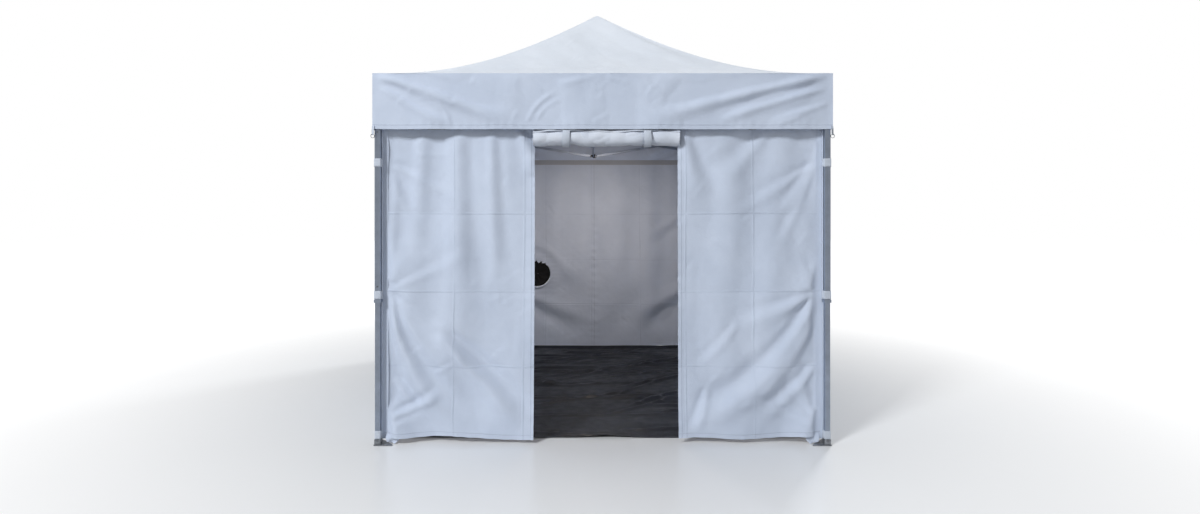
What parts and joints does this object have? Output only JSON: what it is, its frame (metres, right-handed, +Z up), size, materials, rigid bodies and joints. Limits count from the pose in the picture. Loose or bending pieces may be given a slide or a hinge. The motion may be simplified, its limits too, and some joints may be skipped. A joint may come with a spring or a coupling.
{
  "type": "folding frame tent",
  "caption": "Square folding-frame tent: peaked roof, valance, walls with a rolled-up door, a covered window and a drooping duct sleeve, and a groundsheet. The scissor frame folds.",
  "frame": {"origin": "on the floor at the tent's centre, on the underside of the groundsheet", "axes": "+Z up, -Y towards the door wall, -X towards the window wall, +Y towards the wall with the duct sleeve"},
  "size_m": [3.0204, 3.246, 3.3104],
  "materials": {
    "aluminium": "satin anodised extrusion",
    "steel": "dull zinc plate",
    "black_plastic": "moulded nylon",
    "roof_fabric": "coated polyester, faint sheen",
    "wall_fabric": "coated polyester, faint sheen",
    "groundsheet_fabric": "wrinkled coated fabric",
    "window_film": "tinted flexible film"
  },
  "bodies": {
    "hub": {"groundsheet": "groundsheet_fabric", "top_hub": "black_plastic", "valance": "roof_fabric"},
    "back_inner_bar_a": {"back_inner_bar_a": "aluminium"},
    "back_inner_bar_b": {"back_inner_bar_b": "aluminium"},
    "back_left_bar_a": {"back_left_bar_a": "aluminium"},
    "back_left_bar_b": {"back_left_bar_b": "aluminium"},
    "back_mid_bottom": {"back_mid_bottom": "black_plastic"},
    "back_mid_top": {"back_mid_top": "black_plastic", "back_wall": "wall_fabric", "duct_sleeve": "wall_fabric"},
    "back_right_bar_a": {"back_right_bar_a": "aluminium"},
    "back_right_bar_b": {"back_right_bar_b": "aluminium"},
    "bottom_hub": {"bottom_hub": "black_plastic"},
    "front_inner_bar_a": {"front_inner_bar_a": "aluminium"},
    "front_inner_bar_b": {"front_inner_bar_b": "aluminium"},
    "front_left_bar_a": {"front_left_bar_a": "aluminium"},
    "front_left_bar_b": {"front_left_bar_b": "aluminium"},
    "front_mid_bottom": {"front_mid_bottom": "black_plastic"},
    "front_mid_top": {"door_roll": "wall_fabric", "front_mid_top": "black_plastic", "front_wall": "wall_fabric"},
    "front_right_bar_a": {"front_right_bar_a": "aluminium"},
    "front_right_bar_b": {"front_right_bar_b": "aluminium"},
    "left_back_bar_a": {"left_back_bar_a": "aluminium"},
    "left_back_bar_b": {"left_back_bar_b": "aluminium"},
    "left_front_bar_a": {"left_front_bar_a": "aluminium"},
    "left_front_bar_b": {"left_front_bar_b": "aluminium"},
    "left_mid_bottom": {"left_mid_bottom": "black_plastic"},
    "left_mid_top": {"left_mid_top": "black_plastic", "left_wall": "wall_fabric", "window_pane": "window_film"},
    "leg_slider_back_left": {"leg_slider_back_left": "black_plastic"},
    "leg_slider_back_right": {"leg_slider_back_right": "black_plastic"},
    "leg_slider_front_left": {"leg_slider_front_left": "black_plastic"},
    "leg_slider_front_right": {"leg_slider_front_right": "black_plastic"},
    "lower_leg_back_left": {"foot_back_left": "steel", "lower_leg_back_left": "aluminium"},
    "lower_leg_back_right": {"foot_back_right": "steel", "lower_leg_back_right": "aluminium"},
    "lower_leg_front_left": {"foot_front_left": "steel", "lower_leg_front_left": "aluminium"},
    "lower_leg_front_right": {"foot_front_right": "steel", "lower_leg_front_right": "aluminium"},
    "peak_pole": {"peak_pole": "aluminium"},
    "right_back_bar_a": {"right_back_bar_a": "aluminium"},
    "right_back_bar_b": {"right_back_bar_b": "aluminium"},
    "right_front_bar_a": {"right_front_bar_a": "aluminium"},
    "right_front_bar_b": {"right_front_bar_b": "aluminium"},
    "right_mid_bottom": {"right_mid_bottom": "black_plastic"},
    "right_mid_top": {"right_mid_top": "black_plastic", "right_wall": "wall_fabric"},
    "roof_back": {"roof_back": "roof_fabric"},
    "roof_front": {"roof_front": "roof_fabric"},
    "roof_left": {"roof_left": "roof_fabric"},
    "roof_right": {"roof_right": "roof_fabric"},
    "upper_leg_back_left": {"upper_leg_back_left": "aluminium"},
    "upper_leg_back_right": {"upper_leg_back_right": "aluminium"},
    "upper_leg_front_left": {"upper_leg_front_left": "aluminium"},
    "upper_leg_front_right": {"upper_leg_front_right": "aluminium"}
  },
  "joints": [
    {"name": "frame_fold", "type": "hinge", "parent": "hub", "child": "front_inner_bar_a", "pos_m": [0, -0.045, 2.42], "axis": [1, 0, 0], "range_deg": [0, 73.5], "deforming": ["front_wall", "right_wall", "back_wall", "left_wall", "roof_front", "roof_right", "roof_back", "roof_left", "valance", "door_roll", "window_pane", "duct_sleeve", "groundsheet"]},
    {"name": "back_inner_bar_a_pivot", "type": "hinge", "parent": "hub", "child": "back_inner_bar_a", "pos_m": [0, 0.045, 2.42], "axis": [-1, 0, 0], "range_deg": [-0.5, 74.5]},
    {"name": "back_inner_bar_b_pivot", "type": "hinge", "parent": "back_inner_bar_a", "child": "back_inner_bar_b", "pos_m": [0, 0.7475, 2.3025], "axis": [-1, 0, 0], "range_deg": [-148, 0.5]},
    {"name": "back_left_bar_a_pivot", "type": "hinge", "parent": "back_mid_top", "child": "back_left_bar_a", "pos_m": [-0.03, 1.48, 2.42], "axis": [0, -1, 0], "range_deg": [-0.5, 74.5]},
    {"name": "back_left_bar_b_pivot", "type": "hinge", "parent": "back_left_bar_a", "child": "back_left_bar_b", "pos_m": [-0.7325, 1.48, 2.3025], "axis": [0, -1, 0], "range_deg": [-148, 0.5]},
    {"name": "back_mid_bottom_pivot", "type": "hinge", "parent": "back_inner_bar_a", "child": "back_mid_bottom", "pos_m": [0, 1.45, 2.185], "axis": [-1, 0, 0], "range_deg": [-74.5, 0.5]},
    {"name": "back_mid_top_pivot", "type": "hinge", "parent": "back_inner_bar_b", "child": "back_mid_top", "pos_m": [0, 1.45, 2.42], "axis": [-1, 0, 0], "range_deg": [-0.5, 74.5]},
    {"name": "back_right_bar_a_pivot", "type": "hinge", "parent": "back_mid_top", "child": "back_right_bar_a", "pos_m": [0.03, 1.48, 2.42], "axis": [0, 1, 0], "range_deg": [-0.5, 74.5]},
    {"name": "back_right_bar_b_pivot", "type": "hinge", "parent": "back_right_bar_a", "child": "back_right_bar_b", "pos_m": [0.7325, 1.48, 2.3025], "axis": [0, 1, 0], "range_deg": [-148, 0.5]},
    {"name": "bottom_hub_pivot", "type": "hinge", "parent": "front_inner_bar_b", "child": "bottom_hub", "pos_m": [0, -0.045, 2.185], "axis": [1, 0, 0], "range_deg": [-0.5, 74.5]},
    {"name": "front_inner_bar_b_pivot", "type": "hinge", "parent": "front_inner_bar_a", "child": "front_inner_bar_b", "pos_m": [0, -0.7475, 2.3025], "axis": [1, 0, 0], "range_deg": [-148, 0.5]},
    {"name": "front_left_bar_a_pivot", "type": "hinge", "parent": "front_mid_top", "child": "front_left_bar_a", "pos_m": [-0.03, -1.48, 2.42], "axis": [0, -1, 0], "range_deg": [-0.5, 74.5]},
    {"name": "front_left_bar_b_pivot", "type": "hinge", "parent": "front_left_bar_a", "child": "front_left_bar_b", "pos_m": [-0.7325, -1.48, 2.3025], "axis": [0, -1, 0], "range_deg": [-148, 0.5]},
    {"name": "front_mid_bottom_pivot", "type": "hinge", "parent": "front_inner_bar_a", "child": "front_mid_bottom", "pos_m": [0, -1.45, 2.185], "axis": [1, 0, 0], "range_deg": [-74.5, 0.5]},
    {"name": "front_mid_top_pivot", "type": "hinge", "parent": "front_inner_bar_b", "child": "front_mid_top", "pos_m": [0, -1.45, 2.42], "axis": [1, 0, 0], "range_deg": [-0.5, 74.5]},
    {"name": "front_right_bar_a_pivot", "type": "hinge", "parent": "front_mid_top", "child": "front_right_bar_a", "pos_m": [0.03, -1.48, 2.42], "axis": [0, 1, 0], "range_deg": [-0.5, 74.5]},
    {"name": "front_right_bar_b_pivot", "type": "hinge", "parent": "front_right_bar_a", "child": "front_right_bar_b", "pos_m": [0.7325, -1.48, 2.3025], "axis": [0, 1, 0], "range_deg": [-148, 0.5]},
    {"name": "left_back_bar_a_pivot", "type": "hinge", "parent": "upper_leg_back_left", "child": "left_back_bar_a", "pos_m": [-1.48, 1.435, 2.42], "axis": [1, 0, 0], "range_deg": [-0.5, 74.5]},
    {"name": "left_back_bar_b_pivot", "type": "hinge", "parent": "left_back_bar_a", "child": "left_back_bar_b", "pos_m": [-1.48, 0.7325, 2.3025], "axis": [1, 0, 0], "range_deg": [-148, 0.5]},
    {"name": "left_front_bar_a_pivot", "type": "hinge", "parent": "upper_leg_front_left", "child": "left_front_bar_a", "pos_m": [-1.48, -1.435, 2.42], "axis": [-1, 0, 0], "range_deg": [-0.5, 74.5]},
    {"name": "left_front_bar_b_pivot", "type": "hinge", "parent": "left_front_bar_a", "child": "left_front_bar_b", "pos_m": [-1.48, -0.7325, 2.3025], "axis": [-1, 0, 0], "range_deg": [-148, 0.5]},
    {"name": "left_mid_bottom_pivot", "type": "hinge", "parent": "left_front_bar_a", "child": "left_mid_bottom", "pos_m": [-1.48, -0.03, 2.185], "axis": [-1, 0, 0], "range_deg": [-74.5, 0.5]},
    {"name": "left_mid_top_pivot", "type": "hinge", "parent": "left_front_bar_b", "child": "left_mid_top", "pos_m": [-1.48, -0.03, 2.42], "axis": [-1, 0, 0], "range_deg": [-0.5, 74.5]},
    {"name": "leg_slider_back_left_pivot", "type": "hinge", "parent": "back_left_bar_a", "child": "leg_slider_back_left", "pos_m": [-1.435, 1.48, 2.185], "axis": [0, -1, 0], "range_deg": [-74.5, 0.5]},
    {"name": "leg_slider_back_right_pivot", "type": "hinge", "parent": "back_right_bar_a", "child": "leg_slider_back_right", "pos_m": [1.435, 1.48, 2.185], "axis": [0, 1, 0], "range_deg": [-74.5, 0.5]},
    {"name": "leg_slider_front_left_pivot", "type": "hinge", "parent": "front_left_bar_a", "child": "leg_slider_front_left", "pos_m": [-1.435, -1.48, 2.185], "axis": [0, -1, 0], "range_deg": [-74.5, 0.5]},
    {"name": "leg_slider_front_right_pivot", "type": "hinge", "parent": "front_right_bar_a", "child": "leg_slider_front_right", "pos_m": [1.435, -1.48, 2.185], "axis": [0, 1, 0], "range_deg": [-74.5, 0.5]},
    {"name": "leg_height_back_left", "type": "slide", "parent": "upper_leg_back_left", "child": "lower_leg_back_left", "axis": [0, 0, 1], "range_m": [0, 0.85]},
    {"name": "leg_height_back_right", "type": "slide", "parent": "upper_leg_back_right", "child": "lower_leg_back_right", "axis": [0, 0, 1], "range_m": [0, 0.85]},
    {"name": "leg_height_front_left", "type": "slide", "parent": "upper_leg_front_left", "child": "lower_leg_front_left", "axis": [0, 0, 1], "range_m": [0, 0.85]},
    {"name": "leg_height_front_right", "type": "slide", "parent": "upper_leg_front_right", "child": "lower_leg_front_right", "axis": [0, 0, 1], "range_m": [0, 0.85]},
    {"name": "peak_pole_slide", "type": "slide", "parent": "hub", "child": "peak_pole", "axis": [0, 0, -1], "range_m": [0, 0.8]},
    {"name": "right_back_bar_a_pivot", "type": "hinge", "parent": "upper_leg_back_right", "child": "right_back_bar_a", "pos_m": [1.48, 1.435, 2.42], "axis": [1, 0, 0], "range_deg": [-0.5, 74.5]},
    {"name": "right_back_bar_b_pivot", "type": "hinge", "parent": "right_back_bar_a", "child": "right_back_bar_b", "pos_m": [1.48, 0.7325, 2.3025], "axis": [1, 0, 0], "range_deg": [-148, 0.5]},
    {"name": "right_front_bar_a_pivot", "type": "hinge", "parent": "upper_leg_front_right", "child": "right_front_bar_a", "pos_m": [1.48, -1.435, 2.42], "axis": [-1, 0, 0], "range_deg": [-0.5, 74.5]},
    {"name": "right_front_bar_b_pivot", "type": "hinge", "parent": "right_front_bar_a", "child": "right_front_bar_b", "pos_m": [1.48, -0.7325, 2.3025], "axis": [-1, 0, 0], "range_deg": [-148, 0.5]},
    {"name": "right_mid_bottom_pivot", "type": "hinge", "parent": "right_front_bar_a", "child": "right_mid_bottom", "pos_m": [1.48, -0.03, 2.185], "axis": [-1, 0, 0], "range_deg": [-74.5, 0.5]},
    {"name": "right_mid_top_pivot", "type": "hinge", "parent": "right_front_bar_b", "child": "right_mid_top", "pos_m": [1.48, -0.03, 2.42], "axis": [-1, 0, 0], "range_deg": [-0.5, 74.5]},
    {"name": "roof_back_hinge", "type": "hinge", "parent": "back_mid_top", "child": "roof_back", "pos_m": [0, 1.51, 2.4475], "axis": [1, 0, 0], "range_deg": [-0.5, 114]},
    {"name": "roof_front_hinge", "type": "hinge", "parent": "front_mid_top", "child": "roof_front", "pos_m": [0, -1.51, 2.4475], "axis": [-1, 0, 0], "range_deg": [-0.5, 114]},
    {"name": "roof_left_hinge", "type": "hinge", "parent": "left_mid_top", "child": "roof_left", "pos_m": [-1.51, 0, 2.4475], "axis": [0, 1, 0], "range_deg": [-0.5, 114]},
    {"name": "roof_right_hinge", "type": "hinge", "parent": "right_mid_top", "child": "roof_right", "pos_m": [1.51, 0, 2.4475], "axis": [0, -1, 0], "range_deg": [-0.5, 114]},
    {"name": "upper_leg_back_left_pivot", "type": "hinge", "parent": "back_left_bar_b", "child": "upper_leg_back_left", "pos_m": [-1.435, 1.48, 2.42], "axis": [0, -1, 0], "range_deg": [-0.5, 74.5]},
    {"name": "upper_leg_back_right_pivot", "type": "hinge", "parent": "back_right_bar_b", "child": "upper_leg_back_right", "pos_m": [1.435, 1.48, 2.42], "axis": [0, 1, 0], "range_deg": [-0.5, 74.5]},
    {"name": "upper_leg_front_left_pivot", "type": "hinge", "parent": "front_left_bar_b", "child": "upper_leg_front_left", "pos_m": [-1.435, -1.48, 2.42], "axis": [0, -1, 0], "range_deg": [-0.5, 74.5]},
    {"name": "upper_leg_front_right_pivot", "type": "hinge", "parent": "front_right_bar_b", "child": "upper_leg_front_right", "pos_m": [1.435, -1.48, 2.42], "axis": [0, 1, 0], "range_deg": [-0.5, 74.5]}
  ],
  "couplings": [
    {"joint": "back_inner_bar_a_pivot", "follows": "frame_fold", "ratio": 1},
    {"joint": "back_inner_bar_b_pivot", "follows": "frame_fold", "ratio": -2},
    {"joint": "back_left_bar_a_pivot", "follows": "frame_fold", "ratio": 1},
    {"joint": "back_left_bar_b_pivot", "follows": "frame_fold", "ratio": -2},
    {"joint": "back_mid_bottom_pivot", "follows": "frame_fold", "ratio": -1},
    {"joint": "back_mid_top_pivot", "follows": "frame_fold", "ratio": 1},
    {"joint": "back_right_bar_a_pivot", "follows": "frame_fold", "ratio": 1},
    {"joint": "back_right_bar_b_pivot", "follows": "frame_fold", "ratio": -2},
    {"joint": "bottom_hub_pivot", "follows": "frame_fold", "ratio": 1},
    {"joint": "front_inner_bar_b_pivot", "follows": "frame_fold", "ratio": -2},
    {"joint": "front_left_bar_a_pivot", "follows": "frame_fold", "ratio": 1},
    {"joint": "front_left_bar_b_pivot", "follows": "frame_fold", "ratio": -2},
    {"joint": "front_mid_bottom_pivot", "follows": "frame_fold", "ratio": -1},
    {"joint": "front_mid_top_pivot", "follows": "frame_fold", "ratio": 1},
    {"joint": "front_right_bar_a_pivot", "follows": "frame_fold", "ratio": 1},
    {"joint": "front_right_bar_b_pivot", "follows": "frame_fold", "ratio": -2},
    {"joint": "left_back_bar_a_pivot", "follows": "frame_fold", "ratio": 1},
    {"joint": "left_back_bar_b_pivot", "follows": "frame_fold", "ratio": -2},
    {"joint": "left_front_bar_a_pivot", "follows": "frame_fold", "ratio": 1},
    {"joint": "left_front_bar_b_pivot", "follows": "frame_fold", "ratio": -2},
    {"joint": "left_mid_bottom_pivot", "follows": "frame_fold", "ratio": -1},
    {"joint": "left_mid_top_pivot", "follows": "frame_fold", "ratio": 1},
    {"joint": "leg_slider_back_left_pivot", "follows": "frame_fold", "ratio": -1},
    {"joint": "leg_slider_back_right_pivot", "follows": "frame_fold", "ratio": -1},
    {"joint": "leg_slider_front_left_pivot", "follows": "frame_fold", "ratio": -1},
    {"joint": "leg_slider_front_right_pivot", "follows": "frame_fold", "ratio": -1},
    {"joint": "peak_pole_slide", "follows": "frame_fold", "m_per_rad": 0.62},
    {"joint": "right_back_bar_a_pivot", "follows": "frame_fold", "ratio": 1},
    {"joint": "right_back_bar_b_pivot", "follows": "frame_fold", "ratio": -2},
    {"joint": "right_front_bar_a_pivot", "follows": "frame_fold", "ratio": 1},
    {"joint": "right_front_bar_b_pivot", "follows": "frame_fold", "ratio": -2},
    {"joint": "right_mid_bottom_pivot", "follows": "frame_fold", "ratio": -1},
    {"joint": "right_mid_top_pivot", "follows": "frame_fold", "ratio": 1},
    {"joint": "roof_back_hinge", "follows": "frame_fold", "ratio": 1.537},
    {"joint": "roof_front_hinge", "follows": "frame_fold", "ratio": 1.537},
    {"joint": "roof_left_hinge", "follows": "frame_fold", "ratio": 1.537},
    {"joint": "roof_right_hinge", "follows": "frame_fold", "ratio": 1.537},
    {"joint": "upper_leg_back_left_pivot", "follows": "frame_fold", "ratio": 1},
    {"joint": "upper_leg_back_right_pivot", "follows": "frame_fold", "ratio": 1},
    {"joint": "upper_leg_front_left_pivot", "follows": "frame_fold", "ratio": 1},
    {"joint": "upper_leg_front_right_pivot", "follows": "frame_fold", "ratio": 1}
  ]
}
